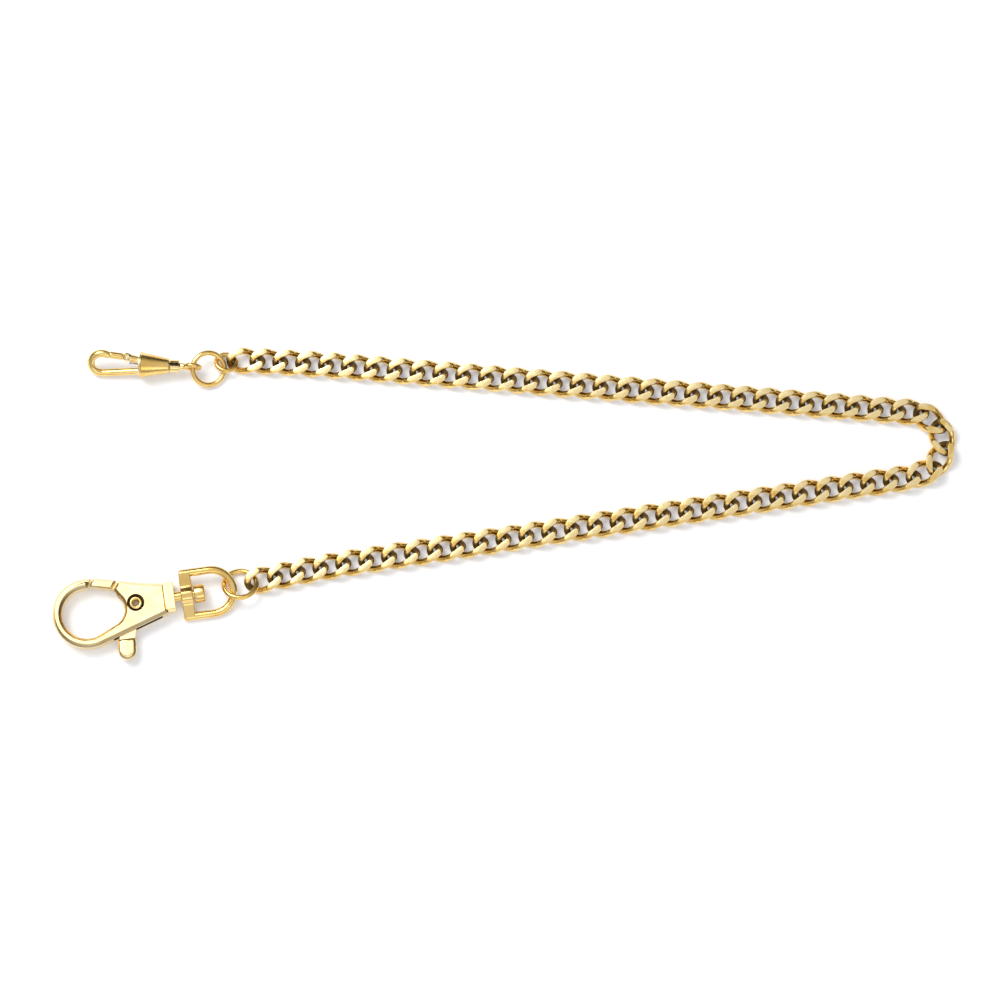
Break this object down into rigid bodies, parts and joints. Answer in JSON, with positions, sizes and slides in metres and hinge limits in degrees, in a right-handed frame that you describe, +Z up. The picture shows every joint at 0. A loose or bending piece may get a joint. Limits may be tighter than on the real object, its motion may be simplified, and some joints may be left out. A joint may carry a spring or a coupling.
{
  "type": "pocket watch chain",
  "caption": "Curb-link pocket watch chain with a swivelling trigger clasp at one end and a small gated watch swivel at the other.",
  "frame": {"origin": "centre of the bounding box, on the surface the chain lies on", "axes": "+X along the folded chain towards its fold, +Y towards the run with the watch swivel, +Z up"},
  "size_m": [0.1839, 0.0654, 0.0054],
  "materials": {
    "gold_plate": "polished gold plate",
    "pale_gold_plate": "polished pale gold plate",
    "spring_steel": "plain spring strip"
  },
  "bodies": {
    "clasp_body": {"clasp_body": "pale_gold_plate", "clasp_rivet": "gold_plate", "clasp_spring": "spring_steel", "clasp_swivel_pin": "gold_plate"},
    "clasp_trigger": {"clasp_trigger": "pale_gold_plate"},
    "clasp_swivel_eye": {"clasp_swivel_eye": "gold_plate"},
    "clasp_ring": {"clasp_ring": "gold_plate"},
    "link_01": {"link_01": "gold_plate"},
    "link_02": {"link_02": "gold_plate"},
    "link_03": {"link_03": "gold_plate"},
    "link_04": {"link_04": "gold_plate"},
    "links_05_06": {"links_05_06": "gold_plate"},
    "links_07_08": {"links_07_08": "gold_plate"},
    "links_09_10": {"links_09_10": "gold_plate"},
    "links_11_12": {"links_11_12": "gold_plate"},
    "links_13_14": {"links_13_14": "gold_plate"},
    "links_15_16": {"links_15_16": "gold_plate"},
    "links_17_18": {"links_17_18": "gold_plate"},
    "links_19_20": {"links_19_20": "gold_plate"},
    "links_21_22": {"links_21_22": "gold_plate"},
    "links_23_24": {"links_23_24": "gold_plate"},
    "link_25": {"link_25": "gold_plate"},
    "link_26": {"link_26": "gold_plate"},
    "link_27": {"link_27": "gold_plate"},
    "link_28": {"link_28": "gold_plate"},
    "link_29": {"link_29": "gold_plate"},
    "link_30": {"link_30": "gold_plate"},
    "link_31": {"link_31": "gold_plate"},
    "link_32": {"link_32": "gold_plate"},
    "link_33": {"link_33": "gold_plate"},
    "link_34": {"link_34": "gold_plate"},
    "link_35": {"link_35": "gold_plate"},
    "link_36": {"link_36": "gold_plate"},
    "link_37": {"link_37": "gold_plate"},
    "link_38": {"link_38": "gold_plate"},
    "links_39_40": {"links_39_40": "gold_plate"},
    "links_41_42": {"links_41_42": "gold_plate"},
    "links_43_44": {"links_43_44": "gold_plate"},
    "links_45_46": {"links_45_46": "gold_plate"},
    "links_47_48": {"links_47_48": "gold_plate"},
    "links_49_50": {"links_49_50": "gold_plate"},
    "links_51_52": {"links_51_52": "gold_plate"},
    "links_53_54": {"links_53_54": "gold_plate"},
    "links_55_56": {"links_55_56": "gold_plate"},
    "links_57_58": {"links_57_58": "gold_plate"},
    "link_59": {"link_59": "gold_plate"},
    "link_60": {"link_60": "gold_plate"},
    "link_61": {"link_61": "gold_plate"},
    "link_62": {"link_62": "gold_plate"},
    "link_63": {"link_63": "gold_plate"},
    "clip_end_link": {"clip_end_link": "gold_plate"},
    "clip_ring": {"clip_ring": "gold_plate"},
    "clip_swivel_eye": {"clip_swivel_eye": "gold_plate"},
    "clip_ferrule": {"clip_ferrule": "gold_plate", "clip_hook": "gold_plate", "clip_gate_pin": "pale_gold_plate", "clip_gate_spring": "spring_steel"},
    "clip_gate": {"clip_gate": "gold_plate"}
  },
  "joints": [
    {"name": "clasp_trigger_pivot", "type": "hinge", "parent": "clasp_body", "child": "clasp_trigger", "pos_m": [-0.07509, -0.02098, 0.002], "axis": [0, 0, 1], "range_deg": [0, 25], "stiffness_Nm_per_rad": 0.001, "springref_deg": -28.65},
    {"name": "clasp_swivel_turn", "type": "hinge", "parent": "clasp_body", "child": "clasp_swivel_eye", "pos_m": [-0.06475, -0.01907, 0.002], "axis": [0.9903, 0.1392, 0], "continuous": true},
    {"name": "clasp_eye_to_ring", "type": "hinge", "parent": "clasp_swivel_eye", "child": "clasp_ring", "pos_m": [-0.05545, -0.01776, 0.002], "axis": [-0.1342, 0.9547, 0.2656], "range_deg": [-30, 14]},
    {"name": "clasp_ring_to_link", "type": "hinge", "parent": "clasp_ring", "child": "link_01", "pos_m": [-0.05097, -0.0158, 0.00143], "axis": [-0.342, 0.8558, -0.3882], "range_deg": [-30, 30]},
    {"name": "link_01_to_02", "type": "hinge", "parent": "link_01", "child": "link_02", "pos_m": [-0.04606, -0.01501, 0.00138], "axis": [-0.1446, 0.6263, -0.766], "range_deg": [-30, 30]},
    {"name": "link_02_to_03", "type": "hinge", "parent": "link_02", "child": "link_03", "pos_m": [-0.0434, -0.01442, 0.0012], "axis": [0.1271, -0.6301, -0.766], "range_deg": [-30, 30]},
    {"name": "link_03_to_04", "type": "hinge", "parent": "link_03", "child": "link_04", "pos_m": [-0.03683, -0.0131, 0.0012], "axis": [0.1271, -0.6301, 0.766], "range_deg": [-30, 30]},
    {"name": "link_04_to_05", "type": "hinge", "parent": "link_04", "child": "links_05_06", "pos_m": [-0.03415, -0.01261, 0.0012], "axis": [-0.0994, 0.635, 0.766], "range_deg": [-30, 30]},
    {"name": "link_06_to_07", "type": "hinge", "parent": "links_05_06", "child": "links_07_08", "pos_m": [-0.02288, -0.01084, 0.0012], "axis": [-0.0994, 0.635, -0.766], "range_deg": [-30, 30]},
    {"name": "link_08_to_09", "type": "hinge", "parent": "links_07_08", "child": "links_09_10", "pos_m": [-0.01554, -0.00969, 0.0012], "axis": [0.0994, -0.635, -0.766], "range_deg": [-30, 30]},
    {"name": "link_10_to_11", "type": "hinge", "parent": "links_09_10", "child": "links_11_12", "pos_m": [-0.00427, -0.00793, 0.0012], "axis": [0.0994, -0.635, 0.766], "range_deg": [-30, 30]},
    {"name": "link_12_to_13", "type": "hinge", "parent": "links_11_12", "child": "links_13_14", "pos_m": [0.00307, -0.00678, 0.0012], "axis": [-0.0994, 0.635, 0.766], "range_deg": [-30, 30]},
    {"name": "link_14_to_15", "type": "hinge", "parent": "links_13_14", "child": "links_15_16", "pos_m": [0.01434, -0.00501, 0.0012], "axis": [-0.0994, 0.635, -0.766], "range_deg": [-30, 30]},
    {"name": "link_16_to_17", "type": "hinge", "parent": "links_15_16", "child": "links_17_18", "pos_m": [0.02168, -0.00386, 0.0012], "axis": [0.0994, -0.635, -0.766], "range_deg": [-30, 30]},
    {"name": "link_18_to_19", "type": "hinge", "parent": "links_17_18", "child": "links_19_20", "pos_m": [0.03296, -0.0021, 0.0012], "axis": [0.0994, -0.635, 0.766], "range_deg": [-30, 30]},
    {"name": "link_20_to_21", "type": "hinge", "parent": "links_19_20", "child": "links_21_22", "pos_m": [0.0403, -0.00095, 0.0012], "axis": [-0.0994, 0.635, 0.766], "range_deg": [-30, 30]},
    {"name": "link_22_to_23", "type": "hinge", "parent": "links_21_22", "child": "links_23_24", "pos_m": [0.05157, 0.00082, 0.0012], "axis": [-0.0994, 0.635, -0.766], "range_deg": [-30, 30]},
    {"name": "link_24_to_25", "type": "hinge", "parent": "links_23_24", "child": "link_25", "pos_m": [0.05891, 0.00197, 0.0012], "axis": [0.0994, -0.635, -0.766], "range_deg": [-30, 30]},
    {"name": "link_25_to_26", "type": "hinge", "parent": "link_25", "child": "link_26", "pos_m": [0.06553, 0.003, 0.0012], "axis": [0.0994, -0.635, 0.766], "range_deg": [-30, 30]},
    {"name": "link_26_to_27", "type": "hinge", "parent": "link_26", "child": "link_27", "pos_m": [0.06822, 0.00342, 0.0012], "axis": [-0.0994, 0.635, 0.766], "range_deg": [-30, 30]},
    {"name": "link_27_to_28", "type": "hinge", "parent": "link_27", "child": "link_28", "pos_m": [0.07484, 0.00446, 0.0012], "axis": [-0.0994, 0.635, -0.766], "range_deg": [-30, 30]},
    {"name": "link_28_to_29", "type": "hinge", "parent": "link_28", "child": "link_29", "pos_m": [0.07752, 0.0049, 0.0012], "axis": [0.0895, -0.6365, -0.766], "range_deg": [-30, 30]},
    {"name": "link_29_to_30", "type": "hinge", "parent": "link_29", "child": "link_30", "pos_m": [0.08416, 0.00583, 0.0012], "axis": [0.0895, -0.6365, 0.766], "range_deg": [-30, 30]},
    {"name": "link_30_to_31", "type": "hinge", "parent": "link_30", "child": "link_31", "pos_m": [0.08751, 0.00753, 0.0012], "axis": [0, 0, 1], "range_deg": [-70, 0]},
    {"name": "link_31_to_32", "type": "hinge", "parent": "link_31", "child": "link_32", "pos_m": [0.08968, 0.01171, 0.0012], "axis": [0, 0, 1], "range_deg": [-70, 0]},
    {"name": "link_32_to_33", "type": "hinge", "parent": "link_32", "child": "link_33", "pos_m": [0.0887, 0.01631, 0.0012], "axis": [0, 0, 1], "range_deg": [-70, 0]},
    {"name": "link_33_to_34", "type": "hinge", "parent": "link_33", "child": "link_34", "pos_m": [0.08502, 0.01925, 0.0012], "axis": [0, 0, 1], "range_deg": [-64, 0]},
    {"name": "link_34_to_35", "type": "hinge", "parent": "link_34", "child": "link_35", "pos_m": [0.08131, 0.01949, 0.0012], "axis": [-0.0532, -0.6406, 0.766], "range_deg": [-30, 30]},
    {"name": "link_35_to_36", "type": "hinge", "parent": "link_35", "child": "link_36", "pos_m": [0.07463, 0.02005, 0.0012], "axis": [-0.0532, -0.6406, -0.766], "range_deg": [-30, 30]},
    {"name": "link_36_to_37", "type": "hinge", "parent": "link_36", "child": "link_37", "pos_m": [0.07192, 0.02027, 0.0012], "axis": [0.0532, 0.6406, -0.766], "range_deg": [-30, 30]},
    {"name": "link_37_to_38", "type": "hinge", "parent": "link_37", "child": "link_38", "pos_m": [0.06524, 0.02083, 0.0012], "axis": [0.0532, 0.6406, 0.766], "range_deg": [-30, 30]},
    {"name": "link_38_to_39", "type": "hinge", "parent": "link_38", "child": "links_39_40", "pos_m": [0.06253, 0.02105, 0.0012], "axis": [-0.0532, -0.6406, 0.766], "range_deg": [-30, 30]},
    {"name": "link_40_to_41", "type": "hinge", "parent": "links_39_40", "child": "links_41_42", "pos_m": [0.05116, 0.022, 0.0012], "axis": [-0.0532, -0.6406, -0.766], "range_deg": [-30, 30]},
    {"name": "link_42_to_43", "type": "hinge", "parent": "links_41_42", "child": "links_43_44", "pos_m": [0.04376, 0.02261, 0.0012], "axis": [0.0532, 0.6406, -0.766], "range_deg": [-30, 30]},
    {"name": "link_44_to_45", "type": "hinge", "parent": "links_43_44", "child": "links_45_46", "pos_m": [0.03239, 0.02356, 0.0012], "axis": [0.0532, 0.6406, 0.766], "range_deg": [-30, 30]},
    {"name": "link_46_to_47", "type": "hinge", "parent": "links_45_46", "child": "links_47_48", "pos_m": [0.02498, 0.02417, 0.0012], "axis": [-0.0532, -0.6406, 0.766], "range_deg": [-30, 30]},
    {"name": "link_48_to_49", "type": "hinge", "parent": "links_47_48", "child": "links_49_50", "pos_m": [0.01361, 0.02512, 0.0012], "axis": [-0.0532, -0.6406, -0.766], "range_deg": [-30, 30]},
    {"name": "link_50_to_51", "type": "hinge", "parent": "links_49_50", "child": "links_51_52", "pos_m": [0.00621, 0.02573, 0.0012], "axis": [0.0532, 0.6406, -0.766], "range_deg": [-30, 30]},
    {"name": "link_52_to_53", "type": "hinge", "parent": "links_51_52", "child": "links_53_54", "pos_m": [-0.00516, 0.02668, 0.0012], "axis": [0.0532, 0.6406, 0.766], "range_deg": [-30, 30]},
    {"name": "link_54_to_55", "type": "hinge", "parent": "links_53_54", "child": "links_55_56", "pos_m": [-0.01257, 0.02729, 0.0012], "axis": [-0.0532, -0.6406, 0.766], "range_deg": [-30, 30]},
    {"name": "link_56_to_57", "type": "hinge", "parent": "links_55_56", "child": "links_57_58", "pos_m": [-0.02394, 0.02824, 0.0012], "axis": [-0.0532, -0.6406, -0.766], "range_deg": [-30, 30]},
    {"name": "link_58_to_59", "type": "hinge", "parent": "links_57_58", "child": "link_59", "pos_m": [-0.03134, 0.02885, 0.0012], "axis": [0.0532, 0.6406, -0.766], "range_deg": [-30, 30]},
    {"name": "link_59_to_60", "type": "hinge", "parent": "link_59", "child": "link_60", "pos_m": [-0.03802, 0.02941, 0.0012], "axis": [0.0532, 0.6406, 0.766], "range_deg": [-30, 30]},
    {"name": "link_60_to_61", "type": "hinge", "parent": "link_60", "child": "link_61", "pos_m": [-0.04073, 0.0296, 0.0012], "axis": [-0.0359, -0.6418, 0.766], "range_deg": [-30, 30]},
    {"name": "link_61_to_62", "type": "hinge", "parent": "link_61", "child": "link_62", "pos_m": [-0.04742, 0.02997, 0.0012], "axis": [-0.0359, -0.6418, -0.766], "range_deg": [-30, 30]},
    {"name": "link_62_to_63", "type": "hinge", "parent": "link_62", "child": "link_63", "pos_m": [-0.05014, 0.0301, 0.0012], "axis": [0.0179, 0.6425, -0.766], "range_deg": [-30, 30]},
    {"name": "clip_end_link_hang", "type": "hinge", "parent": "link_63", "child": "clip_end_link", "pos_m": [-0.05547, 0.02976, 0.0012], "axis": [-0.0246, 0.9196, -0.392], "range_deg": [-25, 14]},
    {"name": "clip_ring_hang", "type": "hinge", "parent": "clip_end_link", "child": "clip_ring", "pos_m": [-0.05804, 0.0295, 0.00165], "axis": [-0.2975, 0.8847, 0.3588], "range_deg": [-15, 18]},
    {"name": "clip_eye_hang", "type": "hinge", "parent": "clip_ring", "child": "clip_swivel_eye", "pos_m": [-0.06422, 0.02874, 0.003], "axis": [-0.2045, -0.9467, -0.2489], "range_deg": [-40, 40]},
    {"name": "clip_swivel_turn", "type": "hinge", "parent": "clip_swivel_eye", "child": "clip_ferrule", "pos_m": [-0.07036, 0.02881, 0.00275], "axis": [0.999, -0.0436, 0], "continuous": true},
    {"name": "clip_gate_pivot", "type": "hinge", "parent": "clip_ferrule", "child": "clip_gate", "pos_m": [-0.07771, 0.03031, 0.00401], "axis": [-0.0319, -0.7307, 0.682], "range_deg": [0, 25], "stiffness_Nm_per_rad": 0.0001, "springref_deg": -28.65}
  ]
}
